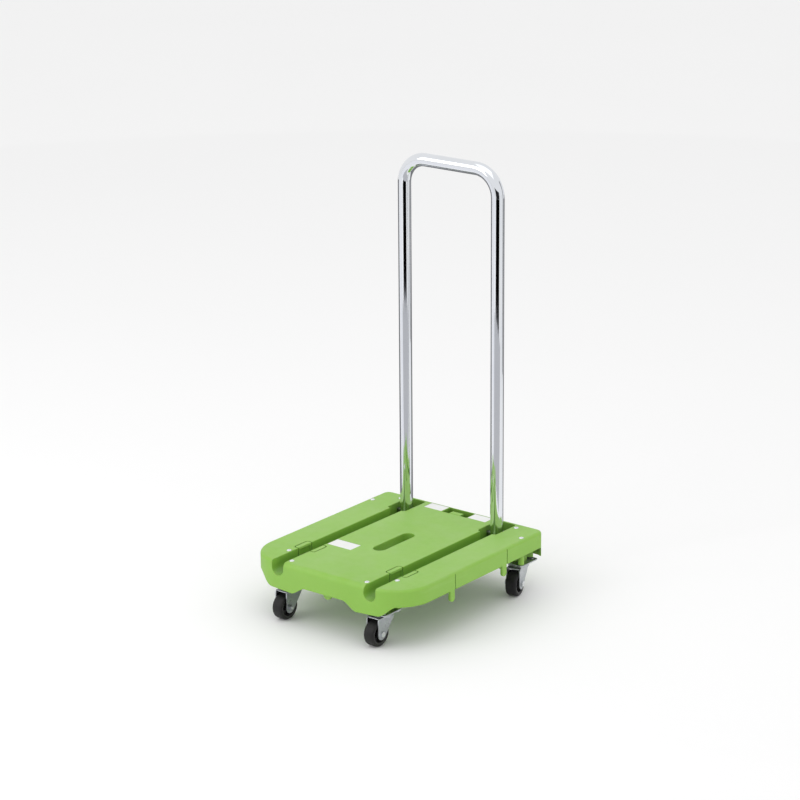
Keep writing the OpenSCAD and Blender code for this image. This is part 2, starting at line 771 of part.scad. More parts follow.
module axle() {
    half = leg_gap + fork_t;
    color(chrome) translate([0, -trail, axle_z]) {
        x_rod(axle_d, -half - axle_nut_h - 1, half + eps);
        rotate([0, 90, 0]) translate([0, 0, half]) cylinder(d = axle_d + 5.5, h = 3.2, $fn = 6);
    }
}

module axle_nut() {
    half = leg_gap + fork_t;
    color(zinc) translate([0, -trail, axle_z]) difference() {
        rotate([0, 90, 0]) translate([0, 0, -half - axle_nut_h])
            cylinder(d = axle_d + 5.5, h = axle_nut_h, $fn = 6);
        x_rod(axle_d, -half - axle_nut_h - 1, -half + 1);
    }
}

module bush() {
    color(steel) translate([0, -trail, axle_z]) difference() {
        x_rod(bush_d, -leg_gap + 0.1, leg_gap - 0.1);
        x_rod(axle_d + 2*run, -leg_gap - 1, leg_gap + 1);
    }
}

// Moulded wheel centre: hub, web and rim.
module core() {
    hub = 2*leg_gap - 0.8;
    color(black) translate([0, -trail, axle_z]) rotate([0, 90, 0]) rotate_extrude() {
        translate([bush_d/2, -hub/2]) square([3.5, hub]);
        translate([bush_d/2 + 1, -2.5]) square([core_r - bush_d/2 - 2, 5]);
        translate([core_r - 2.5, -wheel_w/2]) square([2.5, wheel_w]);
    }
}

module tyre() {
    outer = wheel_d/2;
    r = (outer - core_r)/2;
    color(black) translate([0, -trail, axle_z]) rotate([0, 90, 0]) rotate_extrude() {
        translate([core_r, -wheel_w/2]) square([outer - r - core_r, wheel_w]);
        translate([core_r, -wheel_w/2 + r]) square([outer - core_r, wheel_w - 2*r]);
        for (s = [-1, 1]) translate([outer - r, s*(wheel_w/2 - r)]) circle(r);
    }
}

// ---------------------------------------------------------------- fasteners, labels

module caster_bolt() {
    tip = caster_h - plate_t - nut_h - bolt_tail;
    rotate_extrude() polygon([
        [0, tip], [bolt_d/2, tip], [bolt_d/2, deck_h - 1.5], [bolt_head_d/2, deck_h - 1.5],
        [bolt_head_d/2, deck_h], [bolt_head_d/2 - 1.4, deck_h + 0.9], [0, deck_h + 1.2]
    ]);
}

module caster_nut() {
    difference() {
        translate([0, 0, caster_h - plate_t - nut_h])
            cylinder(d = 1.85*bolt_d, h = nut_h, $fn = 6);
        cylinder(d = bolt_d, h = caster_h);
    }
}

module caster_bolts(x, y, slant) {
    color(chrome) both_sides() translate([x, y, 0]) bolt_places(slant) caster_bolt();
}

module caster_nuts(x, y, slant) {
    color(zinc) both_sides() translate([x, y, 0]) bolt_places(slant) caster_nut();
}

// A label stuck in its recess; grown by g and raised by h it cuts the recess.
module label(x0, y0, w, l, g = 0, h = 0) {
    color("white") translate([x0 - g, y0 - g, deck_h - label_sunk])
        cube([w + 2*g, l + 2*g, label_t + h]);
}

// The front label lies beside the left groove, level with the front pegs.
module label_front(g = 0, h = 0) {
    label(-leg_x + groove_w/2 + label_gap, front_y + peg_front - label_l/2, label_w, label_l, g, h);
}

// Rear labels fill the deck between the well and a pocket.
module label_rear(s, g = 0, h = 0) {
    inner = well_w/2 + label_gap;
    w = leg_x - pocket_w/2 - 12 - inner - label_gap;
    label(s > 0 ? inner : -inner - w, well_y0 + 0.5, w, well_l - 2, g, h);
}

// ---------------------------------------------------------------- nodes

deck();
handle_tube();
handle_foot(-1);  // handle_foot_left
handle_foot(1);  // handle_foot_right
pivot_shaft();
shaft_rings();
release_lever();
lever_pin();
lever_spring();
lock_bar();
caster_bolts(leg_x, front_caster_y, 1);  // caster_bolts_front
caster_bolts(rear_caster_x, rear_caster_y, -1);  // caster_bolts_rear
caster_nuts(leg_x, front_caster_y, 1);  // caster_nuts_front
caster_nuts(rear_caster_x, rear_caster_y, -1);  // caster_nuts_rear
label_front();
label_rear(-1);  // label_rear_left
label_rear(1);  // label_rear_right
at_plate(-1, 1) plate();  // plate_front_left
at_plate(1, 1) plate();  // plate_front_right
at_plate(-1, -1) plate();  // plate_rear_left
at_plate(1, -1) plate();  // plate_rear_right
at_plate(-1, 1) balls();  // balls_front_left
at_plate(1, 1) balls();  // balls_front_right
at_plate(-1, -1) balls();  // balls_rear_left
at_plate(1, -1) balls();  // balls_rear_right
at_plate(-1, 1) kingpin();  // kingpin_front_left
at_plate(1, 1) kingpin();  // kingpin_front_right
at_plate(-1, -1) kingpin();  // kingpin_rear_left
at_plate(1, -1) kingpin();  // kingpin_rear_right
at_caster(-1, 1) fork();  // fork_front_left
at_caster(1, 1) fork();  // fork_front_right
at_caster(-1, -1) fork();  // fork_rear_left
at_caster(1, -1) fork();  // fork_rear_right
at_caster(-1, 1) axle();  // axle_front_left
at_caster(1, 1) axle();  // axle_front_right
at_caster(-1, -1) axle();  // axle_rear_left
at_caster(1, -1) axle();  // axle_rear_right
at_caster(-1, 1) axle_nut();  // axle_nut_front_left
at_caster(1, 1) axle_nut();  // axle_nut_front_right
at_caster(-1, -1) axle_nut();  // axle_nut_rear_left
at_caster(1, -1) axle_nut();  // axle_nut_rear_right
at_caster(-1, 1) bush();  // bush_front_left
at_caster(1, 1) bush();  // bush_front_right
at_caster(-1, -1) bush();  // bush_rear_left
at_caster(1, -1) bush();  // bush_rear_right
at_caster(-1, 1) core();  // core_front_left
at_caster(1, 1) core();  // core_front_right
at_caster(-1, -1) core();  // core_rear_left
at_caster(1, -1) core();  // core_rear_right
at_caster(-1, 1) tyre();  // tyre_front_left
at_caster(1, 1) tyre();  // tyre_front_right
at_caster(-1, -1) tyre();  // tyre_rear_left
at_caster(1, -1) tyre();  // tyre_rear_right
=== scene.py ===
"""Folding platform cart: its finishes, its round-worked pieces and a soft white studio."""

import json
import logging
import math
from dataclasses import dataclass, field
from enum import Enum
from typing import Dict, Iterable, List, Optional, Sequence, Tuple

import bpy
from mathutils import Matrix, Vector


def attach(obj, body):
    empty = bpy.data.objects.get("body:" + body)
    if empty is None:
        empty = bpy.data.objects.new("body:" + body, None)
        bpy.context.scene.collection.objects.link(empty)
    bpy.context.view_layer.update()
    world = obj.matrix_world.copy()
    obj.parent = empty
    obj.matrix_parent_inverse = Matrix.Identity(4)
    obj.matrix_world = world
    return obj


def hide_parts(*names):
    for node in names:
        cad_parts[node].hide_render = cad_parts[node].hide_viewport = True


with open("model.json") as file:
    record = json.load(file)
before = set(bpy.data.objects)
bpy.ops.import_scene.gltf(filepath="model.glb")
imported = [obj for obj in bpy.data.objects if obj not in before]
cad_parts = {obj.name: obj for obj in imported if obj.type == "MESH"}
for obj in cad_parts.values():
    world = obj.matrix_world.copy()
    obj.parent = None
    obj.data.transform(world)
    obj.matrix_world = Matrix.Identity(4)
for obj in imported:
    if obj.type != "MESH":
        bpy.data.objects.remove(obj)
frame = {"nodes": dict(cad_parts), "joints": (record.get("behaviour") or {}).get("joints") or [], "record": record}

log = logging.getLogger("cart")
logging.basicConfig(level=logging.INFO, format="%(name)s: %(message)s")

Colour = Tuple[float, float, float]
Profile = List[Tuple[float, float]]
MM = 0.001
NUT_STEPS = 48  # points round a nut and round its bore
CORNERS = ("front_left", "front_right", "rear_left", "rear_right")


class Blend(Enum):
    """How two values meet in a maths node."""

    ADD = "ADD"
    MULTIPLY = "MULTIPLY"
    SUBTRACT = "SUBTRACT"
    MAXIMUM = "MAXIMUM"


# ---------------------------------------------------------------- node trees


class Tree:
    """A small hand for wiring one node tree."""

    def __init__(self, tree: bpy.types.NodeTree) -> None:
        """Takes the tree to wire."""
        self.tree = tree
        self.column = 0

    def add(self, kind: str, **inputs: object) -> bpy.types.Node:
        """Adds a node and sets or links its inputs.

        Args:
            kind: the node's type, without the leading ShaderNode.
            **inputs: values or output sockets, keyed by socket name with _ for a space.

        Returns:
            The new node.
        """
        node = self.tree.nodes.new("ShaderNode" + kind)
        node.location = (self.column * 40, 0)
        self.column += 1
        for key, value in inputs.items():
            self.feed(node.inputs[key.replace("_", " ")], value)
        return node

    def feed(self, socket: bpy.types.NodeSocket, value: object) -> None:
        """Links an output socket to an input, or sets a constant on it.

        Args:
            socket: the input.
            value: an output socket, a number or a colour.
        """
        if isinstance(value, bpy.types.NodeSocket):
            self.tree.links.new(value, socket)
        elif isinstance(value, tuple) and socket.type == "RGBA" and len(value) == 3:
            socket.default_value = (*value, 1.0)
        else:
            socket.default_value = value

    def maths(self, how: Blend, a: object, b: object) -> bpy.types.NodeSocket:
        """Joins two values with one sum.

        Args:
            how: which sum.
            a: first value.
            b: second value.

        Returns:
            The result.
        """
        node = self.tree.nodes.new("ShaderNodeMath")
        node.operation = how.value
        self.feed(node.inputs[0], a)
        self.feed(node.inputs[1], b)
        return node.outputs[0]

    def spread(self, value: object, low: float, high: float,
               to_low: float, to_high: float) -> bpy.types.NodeSocket:
        """Maps a value from one range to another, clamped.

        Args:
            value: what to map.
            low: start of its range.
            high: end of its range.
            to_low: result at the start.
            to_high: result at the end.

        Returns:
            The mapped value.
        """
        node = self.add("MapRange", Value=value)
        for name, number in zip(("From Min", "From Max", "To Min", "To Max"), (low, high, to_low, to_high)):
            node.inputs[name].default_value = number
        return node.outputs["Result"]

    def mix(self, amount: object, a: object, b: object) -> bpy.types.NodeSocket:
        """Mixes two colours.

        Args:
            amount: 0 gives a and 1 gives b.
            a: first colour.
            b: second colour.

        Returns:
            The mixed colour.
        """
        node = self.tree.nodes.new("ShaderNodeMix")
        node.data_type = "RGBA"
        self.feed(node.inputs[0], amount)
        self.feed(node.inputs[6], a)
        self.feed(node.inputs[7], b)
        return node.outputs[2]

    def noise(self, vector: object, scale: object, detail: float = 3.0,
              rough: float = 0.5) -> bpy.types.NodeSocket:
        """Adds plain noise.

        Args:
            vector: where it is read.
            scale: features per metre, roughly.
            detail: octaves.
            rough: how strong the fine octaves are.

        Returns:
            Its value, about 0.5 on average.
        """
        node = self.add("TexNoise", Vector=vector, Scale=scale, Detail=detail, Roughness=rough)
        return node.outputs[0]

    def stretched(self, vector: object, factors: Tuple[float, float, float]) -> bpy.types.NodeSocket:
        """Scales a place unevenly, so that noise runs in lines.

        Args:
            vector: the place.
            factors: the scale along each axis.

        Returns:
            The scaled place.
        """
        node = self.add("Mapping", Vector=vector)
        node.inputs["Scale"].default_value = factors
        return node.outputs[0]


def new_group(name: str, inputs: Sequence[Tuple[str, str, object]],
              outputs: Sequence[Tuple[str, str]]) -> Tuple[Tree, bpy.types.Node, bpy.types.Node]:
    """Starts a shared node group.

    Args:
        name: the group's name.
        inputs: name, socket type and default of each input.
        outputs: name and socket type of each output.

    Returns:
        The wiring hand, the group's input node and its output node.
    """
    group = bpy.data.node_groups.new(name, "ShaderNodeTree")
    for label, kind, value in inputs:
        socket = group.interface.new_socket(label, in_out="INPUT", socket_type="NodeSocket" + kind)
        if value is not None:
            socket.default_value = value
    for label, kind in outputs:
        group.interface.new_socket(label, in_out="OUTPUT", socket_type="NodeSocket" + kind)
    tree = Tree(group)
    return tree, group.nodes.new("NodeGroupInput"), group.nodes.new("NodeGroupOutput")


@dataclass
class Effects:
    """The shared effects that every finish is made with, each built once."""

    drift: bpy.types.NodeTree = field(init=False)
    grain: bpy.types.NodeTree = field(init=False)
    wear: bpy.types.NodeTree = field(init=False)
    dust: bpy.types.NodeTree = field(init=False)
    scratches: bpy.types.NodeTree = field(init=False)
    shade: bpy.types.NodeTree = field(init=False)

    def __post_init__(self) -> None:
        """Builds all of the groups."""
        self.drift = self.make_drift()
        self.grain = self.make_grain()
        self.wear = self.make_wear()
        self.dust = self.make_dust()
        self.scratches = self.make_scratches()
        self.shade = self.make_shade()

    def make_drift(self) -> bpy.types.NodeTree:
        """Slow change of colour over a surface, in two sizes of patch.

        Returns:
            The group, which puts out the mixed colour and how far it moved.
        """
        tree, put, out = new_group(
            "Colour drift",
            [("Vector", "Vector", None), ("Colour", "Color", (0.5, 0.5, 0.5, 1)),
             ("Other", "Color", (0.4, 0.4, 0.4, 1)),
             ("Scale", "Float", 8.0), ("Amount", "Float", 0.3)],
            [("Colour", "Color"), ("Value", "Float")])
        wide = tree.noise(put.outputs["Vector"], put.outputs["Scale"], 2.0)
        fine = tree.noise(put.outputs["Vector"],
                          tree.maths(Blend.MULTIPLY, put.outputs["Scale"], 7.3), 4.0, 0.6)
        both = tree.maths(Blend.ADD, tree.spread(wide, 0.3, 0.7, 0.0, 0.65),
                          tree.spread(fine, 0.3, 0.7, 0.0, 0.35))
        amount = tree.maths(Blend.MULTIPLY, both, put.outputs["Amount"])
        tree.feed(out.inputs["Colour"], tree.mix(amount, put.outputs["Colour"], put.outputs["Other"]))
        tree.feed(out.inputs["Value"], both)
        return tree.tree

    def make_grain(self) -> bpy.types.NodeTree:
        """Spark-eroded grain of a mould: small round pits over fine noise.

        Returns:
            The group, which puts out the height and the value under it.
        """
        tree, put, out = new_group(
            "Mould grain", [("Vector", "Vector", None), ("Scale", "Float", 900.0), ("Depth", "Float", 1.0)],
            [("Height", "Float"), ("Value", "Float")])
        cells = tree.add("TexVoronoi", Vector=put.outputs["Vector"], Scale=put.outputs["Scale"])
        pits = tree.spread(cells.outputs["Distance"], 0.1, 0.6, 0.0, 1.0)
        fine = tree.noise(put.outputs["Vector"], tree.maths(Blend.MULTIPLY, put.outputs["Scale"], 1.7), 2.0)
        value = tree.maths(Blend.ADD, tree.maths(Blend.MULTIPLY, pits, 0.6),
                           tree.maths(Blend.MULTIPLY, fine, 0.4))
        tree.feed(out.inputs["Value"], value)
        tree.feed(out.inputs["Height"], tree.maths(Blend.MULTIPLY, value, put.outputs["Depth"]))
        return tree.tree

    def make_wear(self) -> bpy.types.NodeTree:
        """Rounded light on edges, and a broken mask of where they are rubbed.

        Returns:
            The group, which puts out the mask and the rounded normal.
        """
        tree, put, out = new_group(
            "Edge wear", [("Vector", "Vector", None), ("Radius", "Float", 0.0008), ("Amount", "Float", 0.5)],
            [("Mask", "Float"), ("Normal", "Vector")])
        bevel = tree.add("Bevel", Radius=put.outputs["Radius"])
        bevel.samples = 4
        facing = tree.add("NewGeometry")
        dot = tree.tree.nodes.new("ShaderNodeVectorMath")
        dot.operation = "DOT_PRODUCT"
        tree.feed(dot.inputs[0], bevel.outputs[0])
        tree.feed(dot.inputs[1], facing.outputs["Normal"])
        edge = tree.spread(dot.outputs["Value"], 0.995, 0.86, 0.0, 1.0)
        broken = tree.spread(tree.noise(put.outputs["Vector"], 160.0, 4.0, 0.65), 0.35, 0.65, 0.0, 1.0)
        rubbed = tree.maths(Blend.MULTIPLY, edge, broken)
        tree.feed(out.inputs["Mask"], tree.maths(Blend.MULTIPLY, rubbed, put.outputs["Amount"]))
        tree.feed(out.inputs["Normal"], bevel.outputs[0])
        return tree.tree

    def make_dust(self) -> bpy.types.NodeTree:
        """Dust that lies on faces turned up, thicker in patches.

        Returns:
            The group, which puts out the mask.
        """
        tree, put, out = new_group(
            "Dust", [("Vector", "Vector", None), ("Amount", "Float", 0.2), ("Floor Level", "Float", 0.0)],
            [("Mask", "Float")])
        facing = tree.add("NewGeometry")
        split = tree.add("SeparateXYZ", Vector=facing.outputs["Normal"])
        up = tree.spread(split.outputs["Z"], 0.1, 0.95, 0.0, 1.0)
        patch = tree.spread(tree.noise(put.outputs["Vector"], 28.0, 6.0, 0.6), 0.4, 0.72, 0.0, 1.0)
        place = tree.add("SeparateXYZ", Vector=put.outputs["Vector"])
        low = tree.maths(Blend.SUBTRACT, place.outputs["Z"], put.outputs["Floor Level"])
        near_floor = tree.spread(low, 0.0, 0.03, 0.8, 0.0)
        lying = tree.maths(Blend.MAXIMUM, up, near_floor)
        total = tree.maths(Blend.MULTIPLY, tree.maths(Blend.MULTIPLY, lying, patch), put.outputs["Amount"])
        tree.feed(out.inputs["Mask"], total)
        return tree.tree

    def make_scratches(self) -> bpy.types.NodeTree:
        """Thin straight scuffs, from noise drawn out along one axis.

        Returns:
            The group, which puts out the mask.
        """
        tree, put, out = new_group(
            "Scratches", [("Vector", "Vector", None), ("Scale", "Float", 60.0), ("Amount", "Float", 0.3)],
            [("Mask", "Float")])
        along = tree.stretched(put.outputs["Vector"], (1.0, 0.06, 1.0))
        across = tree.stretched(put.outputs["Vector"], (0.09, 1.0, 1.0))
        one = tree.spread(tree.noise(along, put.outputs["Scale"], 6.0, 0.7), 0.63, 0.7, 0.0, 1.0)
        two = tree.spread(tree.noise(across, put.outputs["Scale"], 6.0, 0.7), 0.65, 0.72, 0.0, 1.0)
        tree.feed(out.inputs["Mask"], tree.maths(Blend.MULTIPLY, tree.maths(Blend.MAXIMUM, one, two),
                                                 put.outputs["Amount"]))
        return tree.tree

    def make_shade(self) -> bpy.types.NodeTree:
        """Painted shade: darkening deep in recesses, where light is lost.

        Returns:
            The group, which puts out the mask.
        """
        tree, put, out = new_group("Recess shade", [("Reach", "Float", 0.03), ("Amount", "Float", 0.5)],
                                   [("Mask", "Float")])
        closed = tree.add("AmbientOcclusion", Distance=put.outputs["Reach"])
        closed.samples = 6
        hidden = tree.spread(closed.outputs["AO"], 0.15, 0.8, 1.0, 0.0)
        tree.feed(out.inputs["Mask"], tree.maths(Blend.MULTIPLY, hidden, put.outputs["Amount"]))
        return tree.tree


class Bench:
    """One material being built: its tree, its surface shader and the shared effects."""

    def __init__(self, name: str, effects: Effects) -> None:
        """Starts a material.

        Args:
            name: the material's name.
            effects: the shared groups.
        """
        self.material = bpy.data.materials.new(name)
        self.material.use_nodes = True
        self.tree = Tree(self.material.node_tree)
        self.effects = effects
        nodes = self.material.node_tree.nodes
        self.surface = nodes["Principled BSDF"]
        self.place = self.tree.add("TexCoord").outputs["Object"]

    def height_above_floor(self) -> bpy.types.NodeSocket:
        """Height of the shaded place above the floor, in metres."""
        return self.tree.add("SeparateXYZ", Vector=self.place).outputs["Z"]

    def use(self, group: bpy.types.NodeTree, **inputs: object) -> bpy.types.Node:
        """Adds one shared effect, read at this material's place.

        Args:
            group: the effect.
            **inputs: its inputs.

        Returns:
            The group node.
        """
        node = self.tree.tree.nodes.new("ShaderNodeGroup")
        node.node_tree = group
        if "Vector" in node.inputs:
            self.tree.feed(node.inputs["Vector"], inputs.pop("Vector", self.place))
        for key, value in inputs.items():
            self.tree.feed(node.inputs[key.replace("_", " ")], value)
        return node

    def finish(self, colour: object, roughness: object, height: Optional[object] = None,
               depth: float = 0.0002,
               normal: Optional[object] = None, **more: object) -> bpy.types.Material:
        """Wires the surface and gives the finished material.

        Args:
            colour: base colour.
            roughness: roughness.
            height: height for the bump, if any.
            depth: the bump's full depth in metres.
            normal: a rounded normal for edges, if any.
            **more: other inputs of the surface shader.

        Returns:
            The material.
        """
        self.tree.feed(self.surface.inputs["Base Color"], colour)
        self.tree.feed(self.surface.inputs["Roughness"], roughness)
        for key, value in more.items():
            self.tree.feed(self.surface.inputs[key.replace("_", " ")], value)
        if height is not None:
            bump = self.tree.add("Bump", Height=height, Distance=depth, Strength=1.0)
            if normal is not None:
                self.tree.feed(bump.inputs["Normal"], normal)
            normal = bump.outputs[0]
        if normal is not None:
            self.tree.feed(self.surface.inputs["Normal"], normal)
        return self.material


# ---------------------------------------------------------------- finishes


@dataclass(frozen=True)
class MouldedPlastic:
    """Satin injection-moulded plastic with mould grain, scuffs, rubbed edges and painted shade in its recesses."""

    name: str
    colour: Colour
    other: Colour
    rubbed: Colour
    # Colour of the painted shade in recesses.
    painted_shade: Colour
    roughness: float = 0.42
    grain: float = 700.0
    edge: float = 0.0011
    # Reach and strength of the painted shade in recesses.
    painted_shade_reach: float = 0.035
    painted_shade_amount: float = 0.6
    scuffs: float = 0.2
    dust: float = 0.08
    scatter: float = 0.06

    def make(self, effects: Effects) -> bpy.types.Material:
        """Builds the material.

        Args:
            effects: the shared groups.

        Returns:
            The material.
        """
        bench = Bench(self.name, effects)
        tree = bench.tree
        drift = bench.use(effects.drift, Colour=self.colour, Other=self.other, Scale=7.0, Amount=0.5)
        wear = bench.use(effects.wear, Radius=self.edge, Amount=0.45)
        scuff = bench.use(effects.scratches, Scale=52.0, Amount=self.scuffs)
        painted_shade = bench.use(effects.shade, Reach=self.painted_shade_reach, Amount=self.painted_shade_amount)
        dust = bench.use(effects.dust, Amount=self.dust)
        grain = bench.use(effects.grain, Scale=self.grain)
        # Painted shade: the colour darkens towards the recess colour where occlusion finds a recess.
        colour = tree.mix(painted_shade.outputs["Mask"], drift.outputs["Colour"], self.painted_shade)
        colour = tree.mix(wear.outputs["Mask"], colour, self.rubbed)
        colour = tree.mix(tree.maths(Blend.MULTIPLY, scuff.outputs["Mask"], 0.6), colour, self.rubbed)
        colour = tree.mix(dust.outputs["Mask"], colour, (0.62, 0.6, 0.56))
        rough = tree.maths(Blend.ADD, self.roughness,
                           tree.spread(drift.outputs["Value"], 0.2, 0.8, -0.05, 0.06))
        rough = tree.maths(Blend.ADD, rough, tree.maths(Blend.MULTIPLY, dust.outputs["Mask"], 0.4))
        rough = tree.maths(Blend.SUBTRACT, rough, tree.maths(Blend.MULTIPLY, wear.outputs["Mask"], 0.15))
        lift = tree.maths(Blend.SUBTRACT, grain.outputs["Height"],
                          tree.maths(Blend.MULTIPLY, scuff.outputs["Mask"], 0.8))
        return bench.finish(colour, rough, lift, 0.00006, wear.outputs["Normal"],
                            Subsurface_Weight=self.scatter, Subsurface_Scale=0.004, IOR=1.49)


@dataclass(frozen=True)
class Chrome:
    """Bright plating with faint smears, hairlines and dulled ends."""

    name: str
    colour: Colour = (0.80, 0.82, 0.85)
    roughness: float = 0.05
    edge: float = 0.0004
    rubbed_below: float = -1.0

    def make(self, effects: Effects) -> bpy.types.Material:
        """Builds the material.

        Args:
            effects: the shared groups.

        Returns:
            The material.
        """
        bench = Bench(self.name, effects)
        tree = bench.tree
        drift = bench.use(effects.drift, Colour=self.colour, Other=(0.72, 0.75, 0.80), Scale=9.0, Amount=0.6)
        hair = bench.use(effects.scratches, Scale=240.0, Amount=0.5)
        wear = bench.use(effects.wear, Radius=self.edge, Amount=0.5)
        dust = bench.use(effects.dust, Amount=0.1)
        smear = tree.spread(tree.noise(tree.stretched(bench.place, (1.0, 1.0, 0.25)), 34.0, 5.0, 0.6),
                            0.48, 0.75, 0.0, 0.06)
        rough = tree.maths(Blend.ADD, self.roughness, smear)
        rough = tree.maths(Blend.ADD, rough, tree.maths(Blend.MULTIPLY, hair.outputs["Mask"], 0.08))
        height = tree.spread(bench.height_above_floor(), self.rubbed_below, self.rubbed_below + 0.03,
                             0.16, 0.0)
        rough = tree.maths(Blend.ADD, rough, height)
        colour = tree.mix(dust.outputs["Mask"], drift.outputs["Colour"], (0.6, 0.6, 0.6))
        ripple = tree.noise(bench.place, 18.0, 1.0)
        return bench.finish(colour, rough, ripple, 0.00004, wear.outputs["Normal"], Metallic=1.0)


@dataclass(frozen=True)
class ZincSteel:
    """Pressed steel with a mottled zinc coat, dull grain, bright rubbed edges and painted shade in its recesses.
    """

    name: str
    colour: Colour = (0.56, 0.58, 0.60)
    other: Colour = (0.42, 0.44, 0.47)
    roughness: float = 0.34
    edge: float = 0.0005

    def make(self, effects: Effects) -> bpy.types.Material:
        """Builds the material.

        Args:
            effects: the shared groups.

        Returns:
            The material.
        """
        bench = Bench(self.name, effects)
        tree = bench.tree
        drift = bench.use(effects.drift, Colour=self.colour, Other=self.other, Scale=45.0, Amount=0.9)
        wear = bench.use(effects.wear, Radius=self.edge, Amount=0.8)
        hair = bench.use(effects.scratches, Scale=180.0, Amount=0.6)
        painted_shade = bench.use(effects.shade, Reach=0.012, Amount=0.5)
        dust = bench.use(effects.dust, Amount=0.25)
        spangle = tree.add("TexVoronoi", Vector=bench.place, Scale=260.0)
        colour = tree.mix(tree.spread(spangle.outputs["Distance"], 0.1, 0.7, 0.0, 0.35),
                          drift.outputs["Colour"], self.other)
        # Painted shade: near-black where occlusion finds a recess.
        colour = tree.mix(painted_shade.outputs["Mask"], colour, (0.07, 0.065, 0.06))
        colour = tree.mix(wear.outputs["Mask"], colour, (0.78, 0.79, 0.8))
        colour = tree.mix(dust.outputs["Mask"], colour, (0.45, 0.43, 0.4))
        rough = tree.maths(Blend.ADD, self.roughness,
                           tree.spread(drift.outputs["Value"], 0.2, 0.8, -0.08, 0.12))
        metal = tree.spread(dust.outputs["Mask"], 0.0, 0.5, 1.0, 0.5)
        lift = tree.maths(Blend.SUBTRACT, tree.noise(bench.place, 420.0, 4.0), hair.outputs["Mask"])
        return bench.finish(colour, rough, lift, 0.00005, wear.outputs["Normal"], Metallic=metal)


@dataclass(frozen=True)
class Rubber:
    """Black tyre rubber, matt, with a greyed tread and pale floor dust."""

    name: str
    colour: Colour = (0.006, 0.006, 0.007)
    worn: Colour = (0.018, 0.018, 0.018)
    roughness: float = 0.5

    def make(self, effects: Effects) -> bpy.types.Material:
        """Builds the material.

        Args:
            effects: the shared groups.

        Returns:
            The material.
        """
        bench = Bench(self.name, effects)
        tree = bench.tree
        drift = bench.use(effects.drift, Colour=self.colour, Other=self.worn, Scale=60.0, Amount=0.8)
        wear = bench.use(effects.wear, Radius=0.0009, Amount=0.7)
        dust = bench.use(effects.dust, Amount=0.05, Floor_Level=0.002)
        grain = bench.use(effects.grain, Scale=1400.0)
        colour = tree.mix(wear.outputs["Mask"], drift.outputs["Colour"], (0.08, 0.078, 0.075))
        colour = tree.mix(dust.outputs["Mask"], colour, (0.30, 0.28, 0.25))
        rough = tree.maths(Blend.ADD, self.roughness,
                           tree.spread(drift.outputs["Value"], 0.2, 0.8, -0.08, 0.14))
        return bench.finish(colour, rough, grain.outputs["Height"], 0.00008, wear.outputs["Normal"],
                            Specular_IOR_Level=0.3)


@dataclass(frozen=True)
class LabelFilm:
    """White label film with a faint weave, yellowed rim and lifted corners of dirt."""

    name: str
    colour: Colour = (0.86, 0.87, 0.86)
    other: Colour = (0.78, 0.79, 0.77)
    roughness: float = 0.3

    def make(self, effects: Effects) -> bpy.types.Material:
        """Builds the material.

        Args:
            effects: the shared groups.

        Returns:
            The material.
        """
        bench = Bench(self.name, effects)
        tree = bench.tree
        drift = bench.use(effects.drift, Colour=self.colour, Other=self.other, Scale=30.0, Amount=0.6)
        wear = bench.use(effects.wear, Radius=0.0012, Amount=0.9)
        scuff = bench.use(effects.scratches, Scale=120.0, Amount=0.35)
        dust = bench.use(effects.dust, Amount=0.12)
        colour = tree.mix(wear.outputs["Mask"], drift.outputs["Colour"], (0.55, 0.55, 0.5))
        colour = tree.mix(scuff.outputs["Mask"], colour, (0.66, 0.67, 0.66))
        colour = tree.mix(dust.outputs["Mask"], colour, (0.6, 0.58, 0.54))
        rough = tree.maths(Blend.ADD, self.roughness, tree.maths(Blend.MULTIPLY, scuff.outputs["Mask"], 0.3))
        lift = tree.noise(bench.place, 900.0, 2.0)
        return bench.finish(colour, rough, lift, 0.00002, wear.outputs["Normal"], Coat_Weight=0.25)


@dataclass
class Finishes:
    """Every finish on the cart, built once and handed out by record slot."""

    effects: Effects
    by_slot: Dict[str, bpy.types.Material] = field(init=False)

    def __post_init__(self) -> None:
        """Builds the materials."""
        # The last colour given to each plastic is the painted shade of its recesses.
        green = MouldedPlastic("Lime deck plastic", (0.262, 0.510, 0.066), (0.215, 0.450, 0.050),
                               (0.38, 0.62, 0.17), (0.020, 0.085, 0.012))
        black = MouldedPlastic("Black moulded plastic", (0.016, 0.016, 0.018), (0.03, 0.03, 0.032),
                               (0.09, 0.09, 0.09), (0.004, 0.004, 0.004), roughness=0.4,
                               edge=0.0005, painted_shade_reach=0.012, scatter=0.0)
        made = {
            "deck_plastic": green.make(self.effects),
            "black_plastic": black.make(self.effects),
            "chrome_tube": Chrome("Chrome tube", rubbed_below=0.118).make(self.effects),
            "chrome_steel": Chrome("Plated fasteners", (0.86, 0.87, 0.88), 0.12, 0.0003).make(self.effects),
            "zinc_steel": ZincSteel("Zinc-plated steel").make(self.effects),
            "steel": ZincSteel("Oiled steel", (0.4, 0.4, 0.41), (0.28, 0.28, 0.29),
                               0.3, 0.0003).make(self.effects),
            "rubber": Rubber("Tyre rubber").make(self.effects),
            "label_white": LabelFilm("Label film").make(self.effects),
        }
        self.by_slot = made

    def dress(self, obj: bpy.types.Object, slot: str) -> None:
        """Gives an object one finish.

        Args:
            obj: what to dress.
            slot: the record's material slot.
        """
        obj.data.materials.clear()
        obj.data.materials.append(self.by_slot[slot])


# ---------------------------------------------------------------- mesh work


def mesh_object(name: str, points: Iterable[Sequence[float]], faces: Iterable[Sequence[int]],
                smooth: float = 35.0) -> bpy.types.Object:
    """Makes a mesh object that is smooth except at sharp edges.

    Args:
        name: the object's name.
        points: its vertices, in metres.
        faces: its faces.
        smooth: edges sharper than this angle stay sharp, in degrees.

    Returns:
        The object, linked to the scene.
    """
    mesh = bpy.data.meshes.new(name)
    mesh.from_pydata([tuple(p) for p in points], [], [tuple(f) for f in faces])
    mesh.validate()
    mesh.update()
    obj = bpy.data.objects.new(name, mesh)
    bpy.context.scene.collection.objects.link(obj)
    soften(obj, smooth)
    return obj


